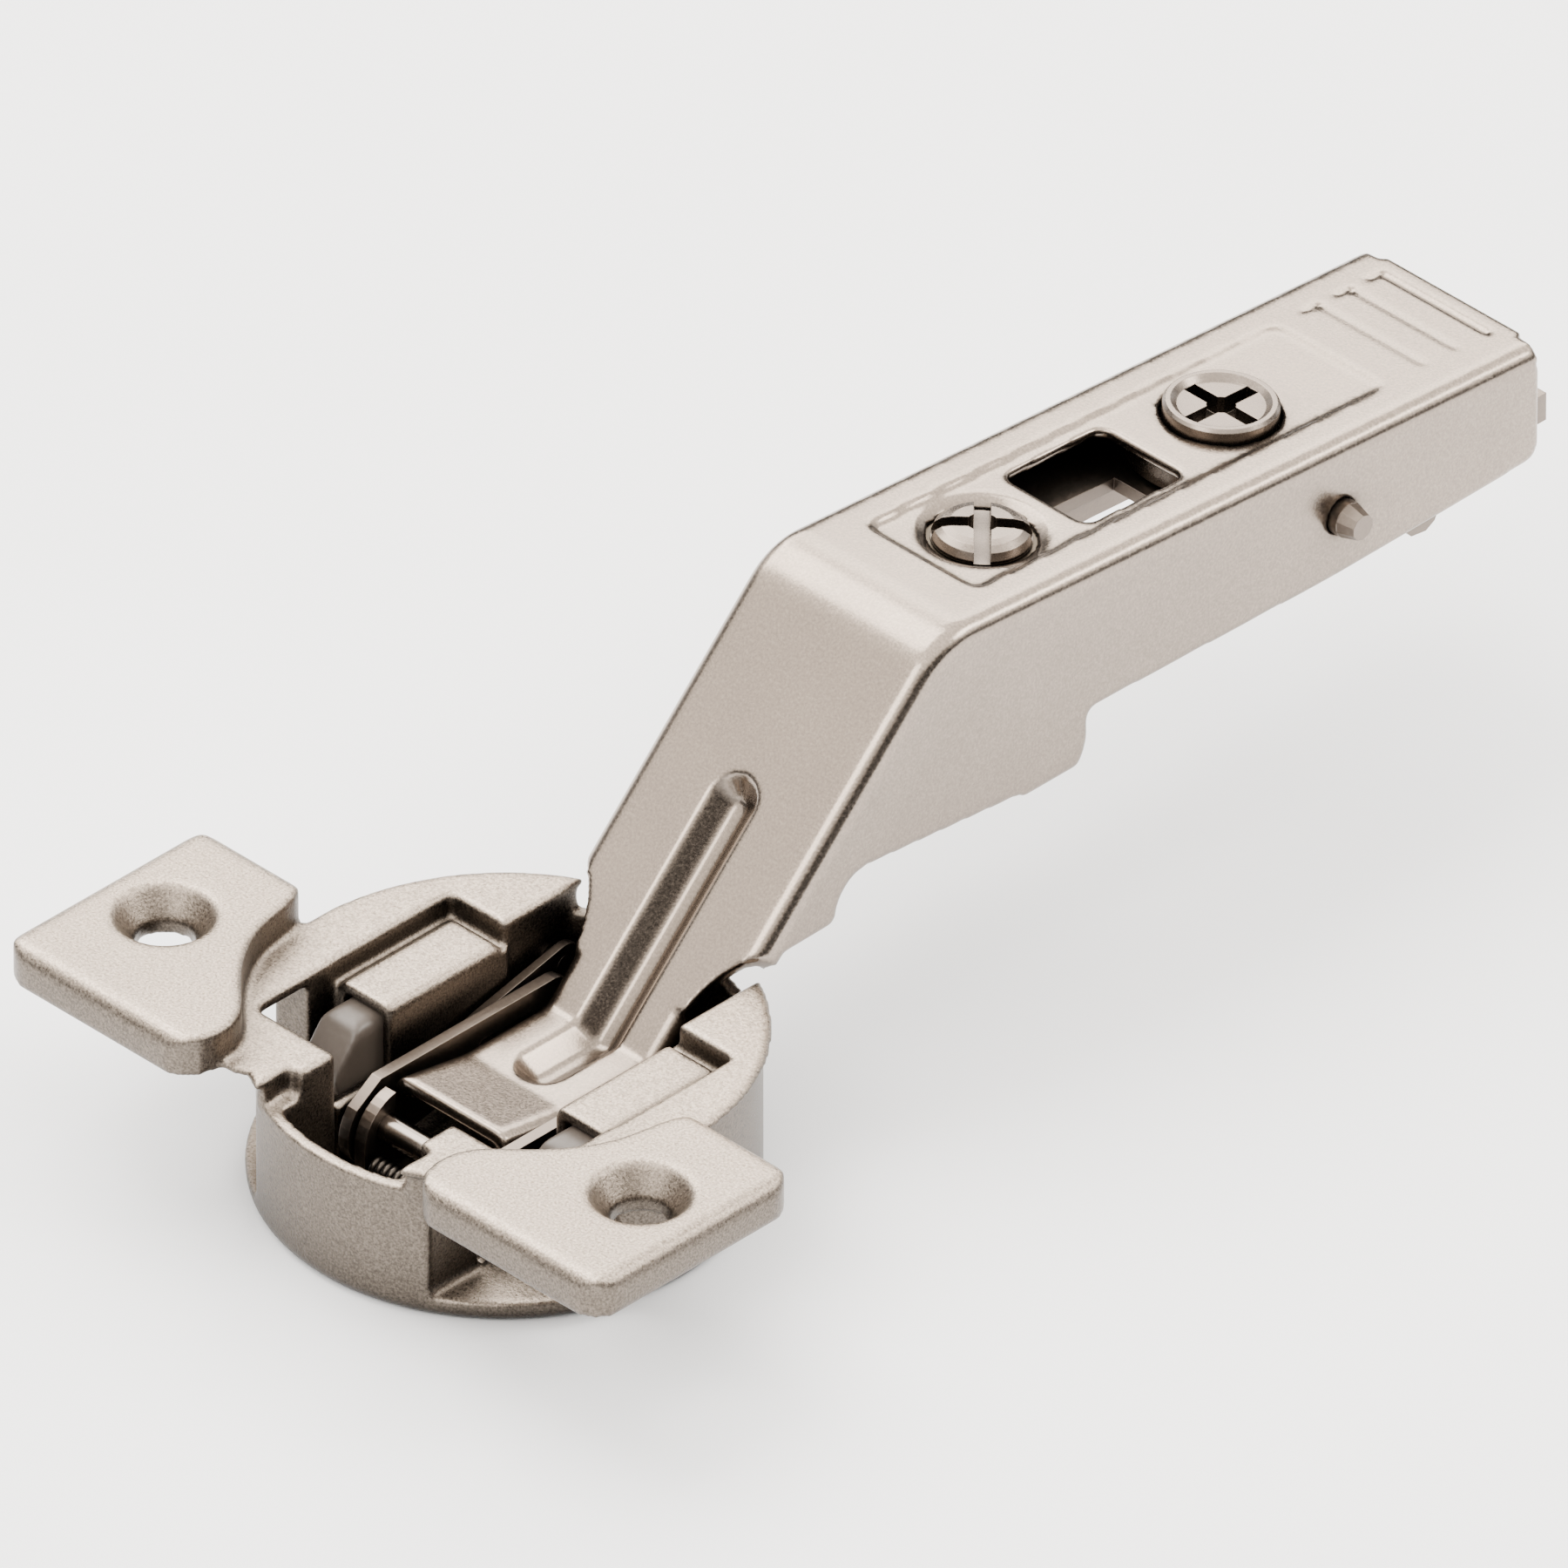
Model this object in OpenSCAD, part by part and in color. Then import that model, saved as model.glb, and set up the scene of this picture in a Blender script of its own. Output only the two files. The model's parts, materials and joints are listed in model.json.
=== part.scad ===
/* [Cup] */
// radius of the cup body, half of the standard 35 mm bore
cup_r = 17.3; // [16:0.1:18]
// radius of the thin rim that rests on the door
rim_r = 17.9; // [17.5:0.1:19]
// height of the rim above the door face
rim_h = 0.5; // [0.3:0.05:0.9]
// depth of the cup below the door face
cup_depth = 11.6; // [11:0.1:13.5]
// thickness of the cup floor
floor_t = 1.0; // [0.8:0.1:1.6]
// thickness of the round wall
cup_wall = 1.0; // [0.8:0.1:1.4]
// half width of the slot between the damper housings
slot_half = 7.8; // [7.7:0.05:8.1]
// half width of the rear opening for the arm
rear_half = 8.2; // [8.1:0.05:8.6]
// half width of the front gap between the side blocks
front_half = 5.5; // [5.4:0.05:6]

/* [Wings] */
// thickness of the screw wings
wing_t = 3.05; // [2.4:0.05:3.6]
// half of the full width across the wings
wing_x = 28.3; // [27:0.1:30]
// front edge of the wings
wing_front = 19.35; // [18.5:0.05:21]
// half of the 45 mm screw spacing
screw_x = 22.5; // [21:0.5:24]
// distance of the screw line from the cup centre
screw_y = 9.5; // [9:0.1:10]
// diameter of the screw hole
screw_d = 4.0; // [3.6:0.1:4.4]
// diameter of the countersink
sink_d = 7.2; // [6.8:0.1:8.4]

/* [Arm] */
// half width of the wide part
arm_half = 8.55; // [8.4:0.05:8.8]
// sheet thickness
sheet = 1.1; // [1:0.05:1.3]
// radius of the long edges
edge_r = 1.35; // [1.3:0.05:1.8]
// outer radius of the upper bend
bend_r = 6; // [5.6:0.1:7]
// half width of the tongue in the cup
tongue_half = 5.3; // [5.2:0.05:5.4]
// half width of the pressed bead
bead_half = 2.05; // [1.6:0.05:2.3]
// depth of the pressed bead
bead_depth = 1.45; // [0.8:0.05:1.6]

/* [Screws] */
// distance of the front screw from the upper bend
side_screw_y = 10.2; // [9.6:0.1:10.8]
// distance of the rear screw from the upper bend
depth_screw_y = 33; // [31:0.1:35]
// head radius of the front screw
side_head_r = 3.45; // [3.2:0.05:3.6]
// head radius of the rear screw
depth_head_r = 4.0; // [3.7:0.05:4.1]
// radius of the cam disc under the skin
cam_r = 6.4; // [5.8:0.1:6.5]
// width of the cross slots
cross_w = 1.15; // [0.9:0.05:1.4]

/* [Links] */
// radius of the front cup pin
pin_r = 1.05; // [0.95:0.05:1.1]
// radius of the studs
stud_r = 0.8; // [0.7:0.05:0.85]
// thickness of the long link
link_t = 0.9; // [0.7:0.05:0.95]
// thickness of the short link
short_t = 0.65; // [0.5:0.05:0.7]

/* [Fits] */
// radial clearance of a turning pin
run_fit = 0.04; // [0.02:0.01:0.08]
// radial clearance of the sliding nose in its tube
slide_fit = 0.06; // [0.02:0.01:0.1]
// side clearance of the inner channel in the arm
channel_gap = 0.5; // [0.3:0.05:0.8]
// side clearance of the release lever in the channel
lever_gap = 0.35; // [0.2:0.05:0.6]
// side clearance between the tongue and the links
link_gap = 0.35; // [0.25:0.05:0.4]

/* [Hidden] */
floor_z = floor_t - cup_depth;
in_r = cup_r - cup_wall;
P1 = [-6.67, -6.73];
C1 = [10.33, -6.8];
C2 = [4.32, -6.6];
P2 = [cup_r - 4.7, -4.4];
REST_LEN = norm(P2 - C2);
SLOT_R0 = REST_LEN - 0.56729;
SLOT_R1 = SLOT_R0 + 2.15;
slot_w = stud_r + 0.3;
slope_off = 13.4;
top_tilt = 4.21;
top_y = 35;
top_z = 19.5;
flap_z = -4.7;
corner_y = flap_z + slope_off;
crest_y = (top_z + slope_off + top_y * tan(top_tilt)) / (1 + tan(top_tilt));
crest_z = crest_y - slope_off;
bend_len = bend_r * tan((45 + top_tilt) / 2);
low_r = 1.0;
low_len = low_r * tan(22.5);
flange_in = tongue_half - 1.0;
link_in = tongue_half + link_gap;
short_in = link_in + link_t + 0.3;
chan_t = 1;
chan_half = arm_half - sheet - channel_gap;
lever_half = chan_half - chan_t - lever_gap;
chan_z = -3.6;
top_len = depth_screw_y + 22;
rear_y = depth_screw_y + 56.85;
rod = [depth_screw_y + 37.9, 11];
lever_axis = [rod[0] + 12.3, 9.6];
nose_x = 10.4;
nose_half = 1.75;

function arc(c, r, a0, a1, n) = [for (i = [0:n]) let (a = a0 + (a1 - a0) * i / n)
    [c[0] + r * cos(a), c[1] + r * sin(a)]];
function bend_sheet(w, r, t, leg) = concat([[-w, r + leg]], arc([-w + r, r], r, 180, 270, 8),
    arc([w - r, r], r, 270, 360, 8), [[w, r + leg]], [[w - t, r + leg]],
    arc([w - r, r], r - t, 360, 270, 8), arc([-w + r, r], r - t, 270, 180, 8), [[-w + t, r + leg]]);
function heading(path, k) = let (m = max(0, min(len(path) - 2, k)))
    atan2(path[m + 1][1] - path[m][1], path[m + 1][0] - path[m][0]);
function swept(path, sec) = [for (i = [0:len(path) - 1])
    let (a = heading(path, i - 1), b = heading(path, i), m = (a + b) / 2, k = 1 / cos((b - a) / 2))
    for (p = sec) [p[0], path[i][0] + p[1] * k * sin(m), path[i][1] - p[1] * k * cos(m)]];
function bead_cut(g) = g > 0
    ? [[-bead_half - g, 0.35], [-0.55 - g * 0.6, bead_depth + g], [0.55 + g * 0.6, bead_depth + g],
       [bead_half + g, 0.35]]
    : [[-bead_half, -0.4], [-bead_half, 0], [-0.55, bead_depth], [0.55, bead_depth], [bead_half, 0],
       [bead_half, -0.4]];

// sheet section of [x, depth] swept along a side view path of [y, z], mitred at each bend point
module folded(path, sec) {
    n = len(sec);
    last = (len(path) - 1) * n;
    sides = [for (i = [0:len(path) - 2], j = [0:n - 1]) [i * n + j, i * n + (j + 1) % n]];
    caps = [for (k = [0:n / 2 - 2]) [k, k + 1, n - 2 - k, n - 1 - k]];
    polyhedron(swept(path, sec), concat([for (e = sides) [e[0], e[0] + n, e[1] + n]],
        [for (e = sides) [e[0], e[1] + n, e[1]]], [for (c = caps) [c[0], c[1], c[3]]],
        [for (c = caps) [c[1], c[2], c[3]]], [for (c = caps) [last + c[3], last + c[1], last + c[0]]],
        [for (c = caps) [last + c[3], last + c[2], last + c[1]]]));
}
// side plate drawn as [y, z], from x0 outwards by t
module plate(x0, t) {
    translate([x0, 0, 0]) rotate([90, 0, 90]) linear_extrude(t) children();
}
module both_plates(x0, t) {
    plate(x0, t) children();
    plate(-x0 - t, t) children();
}
module cross_rod(p, r, x0, x1) {
    translate([x0, p[0], p[1]]) rotate([0, 90, 0]) cylinder(r = r, h = x1 - x0, $fn = 48);
}
module box(x0, x1, y0, y1, z0, z1) {
    translate([x0, y0, z0]) cube([x1 - x0, y1 - y0, z1 - z0]);
}
module pair_box(x0, x1, y0, y1, z0, z1) {
    box(x0, x1, y0, y1, z0, z1);
    box(-x1, -x0, y0, y1, z0, z1);
}
// frame of the tilted rear part: y runs along it, z is its normal
module on_top() {
    translate([0, top_y, top_z]) rotate([-top_tilt, 0, 0]) children();
}

module wing_plan() {
    polygon(concat([[19, -0.5]], arc([wing_x - 2.3, -2.8], 2.3, 90, 0, 6),
        arc([wing_x - 2.3, 2.3 - wing_front], 2.3, 0, -90, 6), [[12.4, -wing_front], [11.4, -18.9],
        [10.6, -17.9], [10.3, -16.6], [10.4, -15], [11, -13.7], [12, -12.6], [13, -11.7], [14.3, -10.4],
        [15.4, -9], [16.3, -7.6], [17, -6], [17.35, -4.4], [17.6, -3], [17.9, -1.9], [18.3, -1.1],
        [19, -0.5]]));
}
module wing() {
    intersection() {
        linear_extrude(wing_t) wing_plan();
        translate([5, 0, 0]) rotate([90, 0, 90]) linear_extrude(30) polygon(concat([[-wing_front, 0]],
            arc([1.2 - wing_front, wing_t - 1.2], 1.2, 180, 90, 6), arc([-1.5, wing_t - 1], 1, 90, 0, 5),
            [[-0.5, 0]]));
        translate([0, 5, 0]) rotate([90, 0, 0]) linear_extrude(40) polygon(concat([[5, 0], [5, wing_t]],
            arc([wing_x - 1.2, wing_t - 1.2], 1.2, 90, 0, 6), [[wing_x, 0]]));
    }
}
module screw_hole() {
    translate([screw_x, -screw_y, -1]) cylinder(d = screw_d, h = 6, $fn = 48);
    translate([screw_x, -screw_y, wing_t - 2]) cylinder(d1 = screw_d, d2 = sink_d, h = 2.01, $fn = 48);
}
module cup_shell() {
    rotate_extrude($fn = 120) polygon(concat([[0, -cup_depth]],
        arc([cup_r - 0.9, 0.9 - cup_depth], 0.9, -90, 0, 5), [[cup_r, 0], [rim_r, 0], [rim_r, rim_h - 0.15],
        [rim_r - 0.15, rim_h], [0, rim_h]]));
    wing();
    mirror([1, 0, 0]) wing();
    for (s = [-1, 1]) {
        linear_extrude(rim_h) polygon([[s * 7.2, -15], [s * 9.4, -16.4], [s * 10.9, -16.2], [s * 11.6, -12.6],
            [s * 8.5, -12.6]]);
    }
}
module cup_space() {
    intersection() {
        translate([0, 0, floor_z]) cylinder(r = in_r, h = 20, $fn = 120);
        union() {
            box(-slot_half, slot_half, -10.2, 8.3, floor_z, 6);
            box(-rear_half, rear_half, 8.2, 18, floor_z, 6);
            box(-front_half, front_half, -18, -10.1, floor_z, 6);
            pair_box(7.6, 13.2, -10.2, -2.9, -10, 6);
        }
    }
    pair_box(7.6, 13.3, -3, 8.2, -1.35, 6);
    box(-6.7, 6.7, -19, -13.4, -1.5, 6);
    box(-rear_half, rear_half, 12, 19, -1.5, 6);
    pair_box(8, 20, -15.2, -5.25, -10, -0.4);
}
module damper_house() {
    intersection() {
        box(slot_half, 12.7, -2.9, 7.5, -1.4, -0.7);
        translate([0, 10, 0]) rotate([90, 0, 0]) linear_extrude(20) polygon(concat([[slot_half, -3]],
            arc([slot_half + 0.7, -1.4], 0.7, 180, 90, 4), arc([12, -1.4], 0.7, 90, 0, 4), [[12.7, -3]]));
    }
}
module hinge_cup() {
    color([0.8, 0.78, 0.75]) difference() {
        union() {
            difference() {
                cup_shell();
                cup_space();
            }
            damper_house();
            mirror([1, 0, 0]) damper_house();
            pair_box(6.85, 7.75, -8.9, -4.5, floor_z - 0.1, -5.3);
            pair_box(6.6, 7.4, -15.9, -15.1, -2, rim_h);
        }
        screw_hole();
        mirror([1, 0, 0]) screw_hole();
        cross_rod(P1, pin_r, -8.1, 8.1);
        cross_rod(P2, stud_r, -10, 10);
        pair_box(nose_x - nose_half - slide_fit, nose_x + nose_half + slide_fit, -4, 3.5,
            -6.9, -1.7 + slide_fit);
        for (s = [-1, 1]) {
            translate([s * nose_x, 6.8, -4.3]) rotate([90, 0, 0]) cylinder(r = 1.3, h = 4, $fn = 48);
        }
    }
}
module front_cup_pin() {
    color([0.86, 0.85, 0.83]) cross_rod(P1, pin_r, 0.05 - slot_half, slot_half - 0.05);
}
module front_seat() {
    color([0.75, 0.72, 0.68]) difference() {
        union() {
            both_plates(flange_in, 1) polygon([[-5.85, -4.25], [-6.3, -4.35], [-6.8, -4.55], [-7.3, -4.85],
                [-7.75, -5.2], [-8.1, -5.6], [-8.4, -6.05], [-8.6, -6.55], [-8.75, -7.1], [-8.8, -7.7],
                [-8.8, floor_z], [-4.3, floor_z], [-4.3, -9.7], [-4.9, -9], [-5.5, -8.4], [-6, -8],
                [-6, -5.5]]);
            box(-5, 5, -8.7, -4.3, floor_z, floor_z + 0.8);
        }
        cross_rod(P1, pin_r, -9, 9);
    }
}
module rear_cup_studs() {
    color([0.8, 0.79, 0.77]) {
        cross_rod(P2, stud_r, short_in, 10);
        cross_rod(P2, stud_r, -10, -short_in);
    }
}
// spring coils as closed rings that touch, x is the middle of the row
module coils(p, r, wire, count) {
    for (i = [0:count - 1]) {
        translate([(i - (count - 1) / 2) * wire * 1.96, p[0], p[1]]) rotate([0, 90, 0])
            rotate_extrude($fn = 36) translate([r, 0]) circle(r = wire, $fn = 16);
    }
}
module closing_spring() {
    color([0.6, 0.58, 0.55]) coils([-8.1, floor_z + 0.8 + 0.85], 0.58, 0.27, 15);
}
module damper_rod() {
    translate([nose_x, 6.8, -4.3]) rotate([90, 0, 0]) cylinder(r = 1.3, h = 8.3, $fn = 48);
}
module left_damper_body() {
    color([0.3, 0.29, 0.28]) mirror([1, 0, 0]) damper_rod();
}
module right_damper_body() {
    color([0.3, 0.29, 0.28]) damper_rod();
}
module nose() {
    x0 = nose_x - nose_half;
    x1 = nose_x + nose_half;
    difference() {
        intersection() {
            plate(7, 6) polygon([[0, -1.7], [-4.4, -1.7], [-5.1, -2], [-6.8, -4.2], [-7.2, -5],
                [-7.15, -5.8], [-6.7, -6.5], [-5.9, -6.8], [0, -6.8]]);
            translate([0, 1, 0]) rotate([90, 0, 0]) linear_extrude(12)
                polygon(concat(arc([x0 + 0.9, -2.6], 0.9, 180, 90, 5), arc([x1 - 0.9, -2.6], 0.9, 90, 0, 5),
                arc([x1 - 0.9, -5.9], 0.9, 0, -90, 5), arc([x0 + 0.9, -5.9], 0.9, -90, -180, 5)));
        }
        translate([nose_x, 1, -4.3]) rotate([90, 0, 0]) cylinder(r = 1.3 + slide_fit, h = 6, $fn = 48);
    }
}
module left_damper_slider() {
    color([0.5, 0.47, 0.44]) mirror([1, 0, 0]) nose();
}
module right_damper_slider() {
    color([0.5, 0.47, 0.44]) nose();
}
module long_link() {
    difference() {
        plate(link_in, link_t) polygon(concat([[-5.9, -3.8], [-8.2, -5.3], [-8.6, -5.9], [-8.9, -6.6],
            [-9.05, -7.3], [-9.05, -8], [-8.85, -8.7], [-8.45, -9.3], [-7.9, -9.75], [-7.2, -10],
            [-6.5, -10.05], [-5.6, -9.9]], [[-3, -9.2], [1, -8.5], [2.1, -7.4], [2.9, -5.9], [3.6, -5.4],
            [8.2, -5.4], [8.55, -5.9], [8.5, -7.2]], arc(C1, 1.75, 210, 360, 8), [[12.05, -5.4],
            [11.7, -4.5], [10.9, -3.9], [10.4, -3.8]]));
        cross_rod(P1, pin_r + run_fit, -9, 9);
        cross_rod(C1, stud_r + run_fit, -9, 9);
    }
}
module right_outer_link() {
    color([0.78, 0.75, 0.71]) long_link();
}
module left_outer_link() {
    color([0.78, 0.75, 0.71]) mirror([1, 0, 0]) long_link();
}
module short_link() {
    a = atan2(C2[1] - P2[1], C2[0] - P2[0]);
    difference() {
        translate([short_in, P2[0], P2[1]]) rotate([90, 0, 90]) rotate([0, 0, a]) linear_extrude(short_t)
            difference() {
            union() {
                circle(r = 1.6, $fn = 48);
                polygon([[0, -1.6], [SLOT_R0 - 0.4, -1.95], [SLOT_R1 + 0.25, -1.95], [SLOT_R1 + 0.25, 1.95],
                    [SLOT_R0 - 0.4, 1.95], [0, 1.6]]);
                translate([SLOT_R1 + 0.05, 0]) circle(r = 1.95, $fn = 48);
            }
            circle(r = stud_r + run_fit, $fn = 48);
            translate([SLOT_R0, 0]) circle(r = slot_w, $fn = 48);
            translate([SLOT_R1, 0]) circle(r = slot_w, $fn = 48);
            translate([SLOT_R0, -slot_w]) square([SLOT_R1 - SLOT_R0, 2 * slot_w]);
        }
    }
}
module right_inner_link() {
    color([0.7, 0.68, 0.65]) short_link();
}
module left_inner_link() {
    color([0.7, 0.68, 0.65]) mirror([1, 0, 0]) short_link();
}

function bend_centre() =
    [crest_y - bend_len * cos(45) + bend_r * sin(45), crest_z - bend_len * sin(45) - bend_r * cos(45)];
module wide_sheet() {
    folded(concat([[11.6, 11.6 - slope_off]], arc(bend_centre(), bend_r, 135, 90 - top_tilt, 10),
        [[top_y + top_len * cos(top_tilt), top_z - top_len * sin(top_tilt)]]),
        bend_sheet(arm_half, edge_r, sheet, 0.8));
    on_top() box(-6.4, 6.4, top_len - 1, top_len + 0.45, -sheet, -0.004);
}
module side_plates() {
    both_plates(arm_half - sheet + 0.01, sheet - 0.02) polygon(concat([[17.4, 1.55],
        [17.3, 17.3 - slope_off - 2.4]], arc(bend_centre(), bend_r - 1.7, 135, 90 - top_tilt, 8),
        [[rear_y, top_z - (rear_y - top_y) * tan(top_tilt) - 1.7], [rear_y, 7.5], [rear_y - 0.35, 6.8],
        [rear_y - 1.15, 6.5], [rod[0] - 0.2, 6.28], [rod[0] - 9.2, 6.6], [47.3, 7.1], [46.8, 6.8],
        [46.65, 6.2], [46.7, 5.3], [46.55, 4.3], [46.2, 3.5], [45.7, 2.9], [40.7, 2.9], [40.3, 3.3],
        [25.9, 4.8], [24.9, 4.7], [24.1, 4.3], [23.4, 3.6], [23, 2.8], [22.85, 2.0], [22.5, 1.65]]));
}
module neck_cut() {
    translate([0, corner_y, flap_z]) rotate([45, 0, 0]) translate([0, 0, -6]) {
        cutter = [[5.22, -2], [5.22, 4.2], [5.45, 5.2], [5.8, 6.4], [6.3, 7.5], [7.1, 8.7], [8, 9.6],
            [8.9, 10.3], [12, 10.9], [12, -2]];
        linear_extrude(12) polygon(cutter);
        linear_extrude(12) polygon([for (p = cutter) [-p[0], p[1]]]);
    }
}
module tongue() {
    folded(concat([[-4.9, -3.6], [1.2, flap_z]],
        arc([corner_y - low_len, flap_z + low_r], low_r, 270, 315, 4), [[corner_y + 5.6, flap_z + 5.6]]),
        bend_sheet(tongue_half, 1.15, sheet, 0.3));
    both_plates(flange_in, 0.985) polygon(concat([[-4.7, -4.75], [-4.3, -5.6], [-2, -6.5], [1.6, -7.2]],
        arc(C2, 1.8, 200, 300, 6), [[7.6, -7.6]], arc(C1, 1.8, 220, 360, 7),
        [[13.4, -3.6], [14.6, -1.5], [14, -1.24], [8.95, -6.29], [8.5, -6], [1.2, -6]]));
}
module bead(g) {
    tip = 18.15;
    folded([[3.55, flap_z], [corner_y, flap_z], [corner_y + tip * cos(45), flap_z + tip * sin(45)]],
        bead_cut(g));
    translate([0, 3.75, flap_z]) bead_end(g);
    translate([0, corner_y + (tip - 0.2) * cos(45), flap_z + (tip - 0.2) * sin(45)]) rotate([45, 0, 0])
        bead_end(g);
}
module bead_end(g) {
    high = g > 0 ? -0.38 : 0.38;
    wide = bead_half + g - 0.03;
    rotate_extrude($fn = 64) polygon([[0, high], [wide, high], [wide, min(high, 0) - 0.05],
        [0.52 + g * 0.6, 0.03 - bead_depth - g], [0, 0.03 - bead_depth - g]]);
}
module arm_top_cuts() {
    on_top() {
        translate([0, 4.4, -0.45]) rotate([0.45, 0, 0]) translate([0, -4.4, 0])
            linear_extrude(4) panel_plan();
        translate([0, side_screw_y, -3]) cylinder(r = side_head_r + 0.2, h = 4, $fn = 64);
        translate([0, side_screw_y, -0.95]) cylinder(r1 = side_head_r + 0.2, r2 = 5.0, h = 0.75, $fn = 64);
        translate([0, 0, -4]) linear_extrude(6) polygon(concat(arc([3.1, 24.7], 0.9, 0, 90, 5),
            arc([-3.1, 24.7], 0.9, 90, 180, 5), arc([-3.1, 17.1], 0.9, 180, 270, 5),
            arc([3.1, 17.1], 0.9, 270, 360, 5)));
        translate([0, depth_screw_y, -3]) cylinder(r = depth_head_r + 0.15, h = 6, $fn = 64);
        for (g = [top_len - 7.5, top_len - 4.4, top_len - 1.3]) {
            box(-5.3, 5.0, g - 0.22, g + 0.22, -0.3, 1);
            box(-5.3, -4.9, g - 1.5, g, -0.3, 1);
        }
    }
}
module panel_plan() {
    polygon(concat(arc([4.2, top_len - 12.5], 1.0, 0, 90, 4), arc([-4.2, top_len - 12.5], 1.0, 90, 180, 4),
        arc([-4.2, 5.4], 1.0, 180, 270, 4), arc([4.2, 5.4], 1.0, 270, 360, 4)));
}
module arm() {
    color([0.82, 0.79, 0.75]) difference() {
        union() {
            difference() {
                union() {
                    wide_sheet();
                    side_plates();
                }
                neck_cut();
            }
            tongue();
            bead(sheet * 0.75);
        }
        bead(0);
        arm_top_cuts();
        for (p = [C1, C2]) {
            cross_rod(p, stud_r, 3.9, arm_half + 0.45);
            cross_rod(p, stud_r, -arm_half - 0.45, -3.9);
        }
        cross_rod(rod, 1.3, -arm_half - 0.45, arm_half + 0.45);
    }
}
module arm_rear_studs() {
    color([0.8, 0.79, 0.77]) {
        cross_rod(C1, stud_r, flange_in, link_in + link_t);
        cross_rod(C1, stud_r, -link_in - link_t, -flange_in);
    }
}
module arm_slot_studs() {
    color([0.8, 0.79, 0.77]) {
        cross_rod(C2, stud_r, flange_in, short_in + short_t);
        cross_rod(C2, stud_r, -short_in - short_t, -flange_in);
    }
}
module inner_channel() {
    color([0.72, 0.69, 0.66]) difference() {
        on_top() {
            box(-chan_half, chan_half, 5, top_len - 8, chan_z - chan_t, chan_z);
            box(chan_half - chan_t, chan_half, 5, top_len - 3, -9.2, chan_z);
            box(-chan_half, chan_t - chan_half, 5, top_len - 3, -9.2, chan_z);
            for (x = [-chan_half, chan_half - chan_t]) {
                plate(x, chan_t) translate([top_len - 10, 0]) polygon([[-1, -9], [-0.4, -11.2], [0.2, -11.8],
                    [1.6, -11.9], [2.4, -11.4], [3.4, -9]]);
            }
        }
        on_top() {
            box(-2.4, 1.2, 15.5, 25.5, -6, 0);
            for (d = [-1.05, 1.05]) {
                translate([0, side_screw_y + d, -8]) cylinder(r = 1.9, h = 8, $fn = 48);
            }
            box(-1.9, 1.9, side_screw_y - 1.05, side_screw_y + 1.05, -8, 0);
            for (d = [-1.05, 1.05]) {
                translate([0, depth_screw_y + d, -8]) cylinder(r = 2.4, h = 8, $fn = 48);
            }
            box(-2.4, 2.4, depth_screw_y - 1.05, depth_screw_y + 1.05, -8, 0);
        }
        for (d = [-1.2, 0, 1.2]) {
            translate([0, d, 0]) cross_rod(rod, 1.7, -9, 9);
        }
        cross_rod(lever_axis, 1, -9, 9);
    }
}
module screw_nut() {
    color([0.7, 0.66, 0.5]) on_top() difference() {
        union() {
            translate([0, side_screw_y, -2.9]) cylinder(r = 4.6, h = 1.0, $fn = 48);
            translate([0, side_screw_y, -2.2]) cylinder(r = 5.2, h = 1.1, $fn = 48);
        }
        translate([0, side_screw_y, -8]) cylinder(r = 2.45 + run_fit, h = 8, $fn = 48);
    }
}
module cross_slot(w, len, d, turn) {
    rotate([0, 0, turn]) {
        translate([-len, -w / 2, -d]) cube([2 * len, w, d + 1]);
        translate([-w / 2, -len, -d]) cube([w, 2 * len, d + 1]);
    }
    translate([0, 0, -d]) cylinder(r = w * 0.95, h = d + 1, $fn = 24);
}
module side_adjust_screw() {
    color([0.8, 0.77, 0.73]) on_top() translate([0, side_screw_y, 0]) difference() {
        rotate_extrude($fn = 64) polygon([[0, -6], [2.3, -6], [2.45, -5.8], [2.45, -4.9], [1.6, -4.9],
            [1.6, -3.3], [2.45, -3.3], [2.45, -1], [side_head_r, -1], [side_head_r, -0.75], [3.25, -0.2],
            [2.8, 0.12], [2.2, 0.25], [0, 0.3]]);
        cross_slot(cross_w, 3.6, 0.95, 45);
    }
}
module depth_adjust_screw() {
    color([0.8, 0.77, 0.73]) on_top() translate([0, depth_screw_y, 0]) difference() {
        rotate_extrude($fn = 72) polygon([[0, -6.2], [1.9, -6.2], [2.0, -6], [2.0, -3.3], [cam_r, -3.3],
            [cam_r, -1.6], [depth_head_r, -1.4], [depth_head_r, 0.45], [3.8, 0.7], [3.45, 0.7], [3.03, 0.3],
            [0, 0.3]]);
        translate([0, 0, 0.3]) cross_slot(1.05, 3.0, 1.4, 0);
    }
}
module arm_cross_pin() {
    color([0.75, 0.72, 0.68]) {
        cross_rod(rod, 1.3, -arm_half - 0.65, arm_half + 0.65);
        for (s = [-1, 1]) {
            translate([s * (arm_half + 0.65), rod[0], rod[1]]) rotate([0, s * 90, 0])
                cylinder(r1 = 1.3, r2 = 0.95, h = 1.3, $fn = 10);
        }
    }
}
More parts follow.
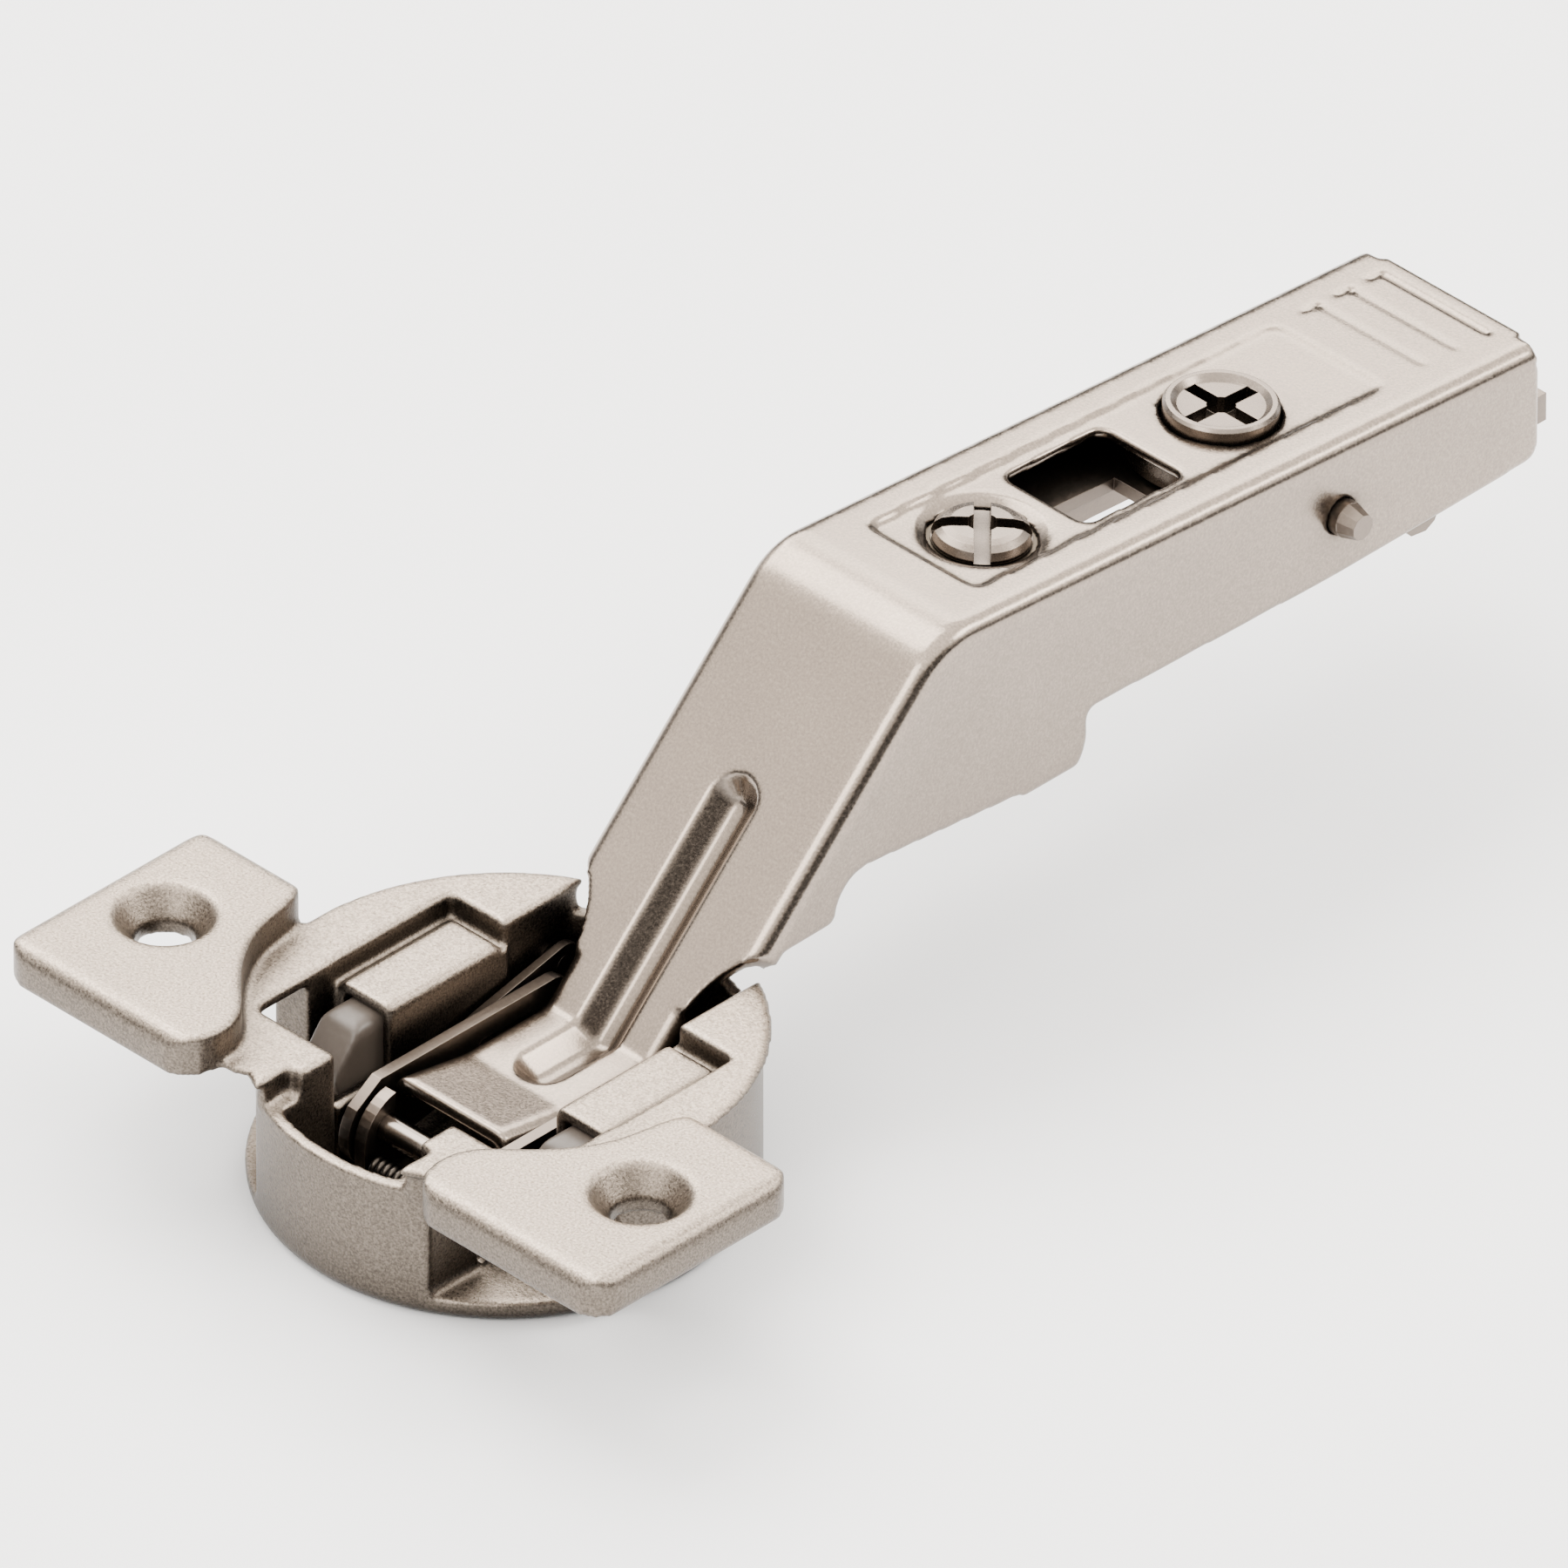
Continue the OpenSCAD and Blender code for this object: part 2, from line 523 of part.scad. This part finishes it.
module clip_lever() {
    color([0.7, 0.67, 0.63]) difference() {
        union() {
            both_plates(lever_half - 1, 1) translate(lever_axis) polygon([[-8.7, -2], [-8, -3.2], [-6.2, -3.7],
                [-4.2, -3.4], [-3.2, -3.8], [-1.2, -3.8], [0.3, -3], [4.8, -2.4], [8.2, -1.7], [8.5, -1.2],
                [8.5, 0.2], [8, 0.6], [4.8, 0.8], [0.8, 1.4], [-3.2, 1], [-6.2, 0.2]]);
            translate([0, lever_axis[0], lever_axis[1]]) {
                box(0.6 - lever_half, lever_half - 0.6, 5.4, 8.5, -1.4, -0.2);
                box(-lever_half - 1.5, lever_half + 1.5, 7.2, 8.8, -1.8, 0.4);
            }
        }
        cross_rod(lever_axis, 1 + run_fit, -9, 9);
    }
}
module lever_pin() {
    color([0.8, 0.79, 0.77]) cross_rod(lever_axis, 1, -chan_half, chan_half);
}
module lever_spring() {
    color([0.6, 0.58, 0.55]) coils(lever_axis, 1.32, 0.32, 10);
}

hinge_cup();
front_cup_pin();
front_seat();
rear_cup_studs();
closing_spring();
left_damper_body();
right_damper_body();
left_damper_slider();
right_damper_slider();
left_outer_link();
right_outer_link();
left_inner_link();
right_inner_link();
arm();
arm_rear_studs();
arm_slot_studs();
inner_channel();
screw_nut();
side_adjust_screw();
depth_adjust_screw();
arm_cross_pin();
clip_lever();
lever_pin();
lever_spring();
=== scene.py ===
import bpy, json, math
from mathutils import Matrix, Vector

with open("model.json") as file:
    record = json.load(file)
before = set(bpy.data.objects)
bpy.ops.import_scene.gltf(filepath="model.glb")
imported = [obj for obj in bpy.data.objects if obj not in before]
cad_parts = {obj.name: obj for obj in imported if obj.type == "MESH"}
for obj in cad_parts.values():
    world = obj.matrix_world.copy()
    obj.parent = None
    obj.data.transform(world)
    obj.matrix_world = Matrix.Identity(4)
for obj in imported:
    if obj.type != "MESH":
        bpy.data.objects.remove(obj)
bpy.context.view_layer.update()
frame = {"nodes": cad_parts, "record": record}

MM = 0.001

# the photograph is an isometric projection, so the camera stands far away with a long lens
LOOK_AT = Vector((0, 26.4, 6.94)) * MM
TOWARDS_CAMERA = Vector((1, -1, 1)).normalized()
FRAME_WIDTH = 104.77 * MM
SENSOR_MM = 36
LENS_MM = 1200

# a Mix node's colour sockets share their names with its number sockets, so they go by place
MIX_AMOUNT, MIX_A, MIX_B, MIX_RESULT = 0, 6, 7, 2


def grey(level):
    return (level, level, level)


class Nodes:
    """A node tree whose nodes are added by kind and wired by socket."""

    def __init__(self, tree):
        self.tree = tree
        tree.nodes.clear()
        self.place = self.add("ShaderNodeTexCoord")

    def add(self, kind, **settings):
        node = self.tree.nodes.new(kind)
        for key, value in settings.items():
            setattr(node, key, value)
        return node

    def wire(self, a, a_socket, b, b_socket):
        self.tree.links.new(a.outputs[a_socket], b.inputs[b_socket])

    def split(self, coordinates):
        node = self.add("ShaderNodeSeparateXYZ")
        self.wire(self.place, coordinates, node, "Vector")
        return node

    def ramp(self, source, stops, socket="Fac"):
        """Colours by the source's value; stops are places from 0 to 1 with their colours."""
        node = self.add("ShaderNodeValToRGB")
        elements = node.color_ramp.elements
        while len(elements) < len(stops):
            elements.new(0.5)
        for element, (at, colour) in zip(elements, stops):
            element.position = at
            element.color = (*colour, 1)
        self.wire(source, socket, node, "Fac")
        return node

    def spread(self, source, low, high, start=0.0, end=1.0, socket="Fac"):
        """The source's values from start to end, spread over low to high."""
        node = self.add("ShaderNodeMapRange")
        node.inputs["From Min"].default_value = start
        node.inputs["From Max"].default_value = end
        node.inputs["To Min"].default_value = low
        node.inputs["To Max"].default_value = high
        self.wire(source, socket, node, "Value")
        return node


class Finish(Nodes):
    """A procedural finish on Object coordinates."""

    def __init__(self, name):
        self.material = bpy.data.materials.new(name)
        self.material.use_nodes = True
        super().__init__(self.material.node_tree)
        self.shader = self.add("ShaderNodeBsdfPrincipled")
        out = self.add("ShaderNodeOutputMaterial")
        self.wire(self.shader, "BSDF", out, "Surface")

    def noise(self, size_mm, detail, roughness=0.5):
        """Noise whose blotches are about size_mm across."""
        node = self.add("ShaderNodeTexNoise")
        node.inputs["Scale"].default_value = 1 / (size_mm * MM)
        node.inputs["Detail"].default_value = detail
        node.inputs["Roughness"].default_value = roughness
        self.wire(self.place, "Object", node, "Vector")
        return node

    def multiply(self, a, b):
        """The product of two colour outputs."""
        node = self.add("ShaderNodeMix", data_type="RGBA", blend_type="MULTIPLY")
        node.inputs[MIX_AMOUNT].default_value = 1.0
        self.tree.links.new(a, node.inputs[MIX_A])
        self.tree.links.new(b, node.inputs[MIX_B])
        return node.outputs[MIX_RESULT]

    def painted_recess_shade(self, depth_mm, level):
        """Painted shade in recesses: grey level that falls to level where a face looks into a narrow recess."""
        node = self.add("ShaderNodeAmbientOcclusion", samples=6)
        node.inputs["Distance"].default_value = depth_mm * MM
        return self.ramp(node, [(0.3, grey(level)), (0.97, grey(1))], socket="AO")

    def painted_wall_shade(self, level):
        """Painted shade on sideways faces: grey level that is 1 on faces that look up and falls to level on wall
        faces.
        """
        return self.ramp(self.split("Normal"), [(0.35, grey(level)), (0.96, grey(1))], socket="Z")

    def bump(self, source, height_mm, strength, rounding_mm):
        """Relief from the source, on edges that look rounded by rounding_mm."""
        node = self.add("ShaderNodeBump")
        node.inputs["Distance"].default_value = height_mm * MM
        node.inputs["Strength"].default_value = strength
        self.wire(source, "Fac", node, "Height")
        if rounding_mm:
            edge = self.add("ShaderNodeBevel", samples=6)
            edge.inputs["Radius"].default_value = rounding_mm * MM
            self.wire(edge, "Normal", node, "Normal")
        self.wire(node, "Normal", self.shader, "Normal")


CLOUD_MM = 6.0
# painted shade in recesses: how far the occlusion looks and the darkest level it reaches
RECESS_SHADE_MM = 5.0
RECESS_SHADE_LEVEL = 0.3


def metal(name, tone, grain, rough, rounding_mm, speck_mm, speck_span, bump_mm, wall_shade_level=1.0):
    """Nickel plating: tone is its colour, grain how far the specks stray from it, and the wall level how dark wall
    faces are painted, a painted shade.
    """
    f = Finish(name)
    fine = f.noise(speck_mm, 3.0, roughness=0.7)
    dark = [c * (1 - 0.7 * grain) for c in tone]
    light = [min(1, c * (1 + grain)) for c in tone]
    specks = f.ramp(fine, [(0.5 - speck_span, dark), (0.5, tone), (0.5 + speck_span, light)])
    clouds = f.ramp(f.noise(CLOUD_MM, 3.0), [(0.3, grey(0.94)), (0.7, grey(1))])
    # random clouds and painted shade in recesses darken the colour
    shades = [clouds, f.painted_recess_shade(RECESS_SHADE_MM, RECESS_SHADE_LEVEL)]
    # painted shade on wall faces, for finishes that ask for it
    if wall_shade_level < 1:
        shades.append(f.painted_wall_shade(wall_shade_level))
    colour = specks.outputs["Color"]
    for shade in shades:
        colour = f.multiply(colour, shade.outputs["Color"])
    f.tree.links.new(colour, f.shader.inputs["Base Color"])
    f.shader.inputs["Metallic"].default_value = 1.0
    f.wire(f.spread(fine, *rough, start=0.3, end=0.7), "Result", f.shader, "Roughness")
    f.bump(fine, bump_mm, 0.6, rounding_mm)
    return f.material


def plastic(name, tone, rough):
    """Moulded plastic with a fine, even grain."""
    f = Finish(name)
    grain = f.noise(0.35, 2.0)
    tint = f.ramp(grain, [(0.3, [c * 0.93 for c in tone]), (0.7, tone)])
    f.wire(tint, "Color", f.shader, "Base Color")
    f.wire(f.spread(grain, rough - 0.05, rough + 0.05, 0.3, 0.7), "Result", f.shader, "Roughness")
    f.bump(grain, 0.006, 0.5, rounding_mm=0.12)
    return f.material


# by the material slots of the record
FINISHES = {
    # the cast finish darkens its wall faces, a painted shade
    "cast_nickel": metal("cast_nickel", (0.335, 0.281, 0.231), grain=0.48, rough=(0.24, 0.42),
                         rounding_mm=0.3, speck_mm=0.19, speck_span=0.13, bump_mm=0.07, wall_shade_level=0.38),
    "sheet_nickel": metal("sheet_nickel", (0.27, 0.225, 0.188), grain=0.22, rough=(0.17, 0.27),
                          rounding_mm=0.0, speck_mm=0.2, speck_span=0.17, bump_mm=0.012),
    "link_steel": metal("link_steel", (0.20, 0.166, 0.14), grain=0.1, rough=(0.28, 0.4),
                        rounding_mm=0.08, speck_mm=0.25, speck_span=0.2, bump_mm=0.005),
    "bright_pin": metal("bright_pin", (0.22, 0.195, 0.172), grain=0.03, rough=(0.14, 0.2),
                        rounding_mm=0.05, speck_mm=0.3, speck_span=0.2, bump_mm=0.001),
    "screw_nickel": metal("screw_nickel", (0.22, 0.185, 0.158), grain=0.12, rough=(0.22, 0.34),
                          rounding_mm=0.1, speck_mm=0.2, speck_span=0.2, bump_mm=0.005),
    "spring_steel": metal("spring_steel", (0.075, 0.065, 0.056), grain=0.06, rough=(0.3, 0.4),
                          rounding_mm=0.03, speck_mm=0.3, speck_span=0.2, bump_mm=0.002),
    "nut_brass": metal("plated_brass", (0.12, 0.096, 0.07), grain=0.06, rough=(0.3, 0.4),
                       rounding_mm=0.08, speck_mm=0.3, speck_span=0.2, bump_mm=0.004),
    "damper_grey": plastic("damper_grey", (0.062, 0.05, 0.041), rough=0.4),
    "damper_dark": plastic("damper_dark", (0.02, 0.018, 0.016), rough=0.45),
}


def finish_nodes():
    """Every carried-over node gets the finish that its record slot names."""
    slots = {s["node"]: s["material_slot"] for s in frame["record"]["subparts"]}
    for name, node in frame["nodes"].items():
        node.data.materials.clear()
        node.data.materials.append(FINISHES[slots[name]])


# voxel size in mm and smoothing passes with which each piece's edges are eased
EASED = {
    "hinge_cup": (0.26, 5),
    "arm": (0.24, 5),
    "left_damper_slider": (0.14, 24),
    "right_damper_slider": (0.14, 24),
}


def ease_edges():
    """Cast and pressed edges are rounded as the tool leaves them; the CAD mesh itself stays as it is."""
    for name, (voxel_mm, passes) in EASED.items():
        node = frame["nodes"][name]
        remesh = node.modifiers.new("eased_edges", "REMESH")
        remesh.mode = "VOXEL"
        remesh.voxel_size = voxel_mm * MM
        remesh.use_smooth_shade = True
        smooth = node.modifiers.new("soft_corners", "SMOOTH")
        smooth.factor = 0.5
        smooth.iterations = passes


FLOOR_Z = -11.65 * MM
FLOOR_REACH = 6.0


def floor():
    """A plain pale floor just under the cup."""
    f = Finish("floor_paper")
    # slightly blue, because the light from above is slightly warm
    tint = f.ramp(f.noise(40.0, 2.0), [(0.3, (0.88, 0.905, 0.94)), (0.7, (0.90, 0.925, 0.96))])
    f.wire(tint, "Color", f.shader, "Base Color")
    f.shader.inputs["Roughness"].default_value = 0.9
    mesh = bpy.data.meshes.new("floor")
    corners = [(-1, -1), (1, -1), (1, 1), (-1, 1)]
    mesh.from_pydata([(x * FLOOR_REACH, y * FLOOR_REACH, FLOOR_Z) for x, y in corners], [], [(0, 1, 2, 3)])
    mesh.materials.append(f.material)
    piece = bpy.data.objects.new("floor", mesh)
    bpy.context.collection.objects.link(piece)


SOFTBOX_AIM = Vector((0, 0.03, 0.0))
WARM_WHITE = (1, 0.95, 0.89)
SOFTBOXES = {
    # name: direction from the hinge, distance, width and height in metres, watts
    "back_left_softbox": ((-0.577, 0.577, 0.60), 1.6, (1.3, 0.62), 17),
    "overhead_softbox": ((-0.577, 0.0, 0.8), 1.3, (0.8, 0.9), 20),
    "front_softbox": ((0.05, -0.7, 0.72), 1.5, (0.7, 0.4), 8),
    "back_right_softbox": ((0.577, 0.577, 0.66), 1.4, (0.6, 0.36), 10),
}


def softbox(name, direction, distance, size, power):
    light = bpy.data.lights.new(name, "AREA")
    light.shape = "RECTANGLE"
    light.size, light.size_y = size
    light.energy = power
    light.color = WARM_WHITE
    lamp = bpy.data.objects.new(name, light)
    bpy.context.collection.objects.link(lamp)
    direction = Vector(direction).normalized()
    lamp.location = SOFTBOX_AIM + direction * distance
    lamp.rotation_mode = "QUATERNION"
    lamp.rotation_quaternion = direction.to_track_quat("Z", "Y")


# the sky by height, 0 at the horizon and 1 overhead: brightness and warmth
SKY = [(0.0, 2.6, 0.02), (0.05, 2.4, 0.02), (0.12, 1.6, 0.03), (0.25, 1.7, 0.04), (0.45, 3.0, 0.12), (0.8, 3.9, 0.12)]

# dark cards in the sky, so that rounded edges show dark lines
CARDS = {
    # name: heading and half width in degrees, lower and upper height, how dark it is
    "right_back": (45, 36, -0.1, 0.33, 0.85),
    "back_left": (131, 27, -0.02, 0.43, 0.95),
    "front_left": (225, 34, -0.1, 0.45, 0.85),
    "right_front": (-6, 32, -0.1, 0.63, 0.93),
    "right_high": (-40, 30, 0.33, 0.63, 0.93),
}
CARD_SIDE_BLUR = 8
CARD_HEIGHT_BLUR = 0.03
CARD_SLANT = 0.95


def black_card(sky, height, heading, half_width, low, high, depth):
    """How much of the sky's light a card lets through: 1 beside it, 1 - depth on it."""
    toward = sky.add("ShaderNodeVectorMath", operation="DOT_PRODUCT")
    toward.inputs[1].default_value = (math.cos(math.radians(heading)), math.sin(math.radians(heading)), 0)
    sky.wire(sky.place, "Generated", toward, 0)
    outer = math.cos(math.radians(half_width + CARD_SIDE_BLUR)) * CARD_SLANT
    inner = math.cos(math.radians(half_width - CARD_SIDE_BLUR)) * CARD_SLANT
    across = sky.spread(toward, 0.0, 1.0, outer, inner, socket="Value")
    stops = [(low, 0), (low + CARD_HEIGHT_BLUR, 1), (high - CARD_HEIGHT_BLUR, 1), (high, 0)]
    up = sky.ramp(height, [(at, grey(level)) for at, level in stops], socket="Z")
    card = sky.add("ShaderNodeMath", operation="MULTIPLY")
    sky.wire(across, "Result", card, 0)
    sky.wire(up, "Color", card, 1)
    return sky.spread(card, 1.0, 1.0 - depth, socket="Value").outputs["Result"]


def studio():
    """A soft sky, brighter overhead, with dark cards and four softboxes."""
    world = bpy.data.worlds.new("studio")
    bpy.context.scene.world = world
    world.use_nodes = True
    sky = Nodes(world.node_tree)
    height = sky.split("Generated")
    back = sky.add("ShaderNodeBackground")
    out = sky.add("ShaderNodeOutputWorld")
    stops = [(at, (level, level * (1 - 0.45 * warmth), level * (1 - warmth))) for at, level, warmth in SKY]
    sky.wire(sky.ramp(height, stops, socket="Z"), "Color", back, "Color")
    first, *others = [black_card(sky, height, *card) for card in CARDS.values()]
    strength = first
    for shade in others:
        both = sky.add("ShaderNodeMath", operation="MULTIPLY")
        sky.tree.links.new(strength, both.inputs[0])
        sky.tree.links.new(shade, both.inputs[1])
        strength = both.outputs["Value"]
    sky.tree.links.new(strength, back.inputs["Strength"])
    sky.wire(back, "Background", out, "Surface")
    for name, values in SOFTBOXES.items():
        softbox(name, *values)


def camera():
    """The photograph's viewing angle and frame."""
    data = bpy.data.cameras.new("camera")
    data.sensor_width = SENSOR_MM
    data.lens = LENS_MM
    distance = FRAME_WIDTH * LENS_MM / SENSOR_MM
    data.clip_start = distance * 0.5
    data.clip_end = distance * 3
    eye = bpy.data.objects.new("camera", data)
    bpy.context.collection.objects.link(eye)
    eye.location = LOOK_AT + TOWARDS_CAMERA * distance
    eye.rotation_mode = "QUATERNION"
    eye.rotation_quaternion = TOWARDS_CAMERA.to_track_quat("Z", "Y")
    bpy.context.scene.camera = eye


finish_nodes()
ease_edges()
floor()
studio()
camera()
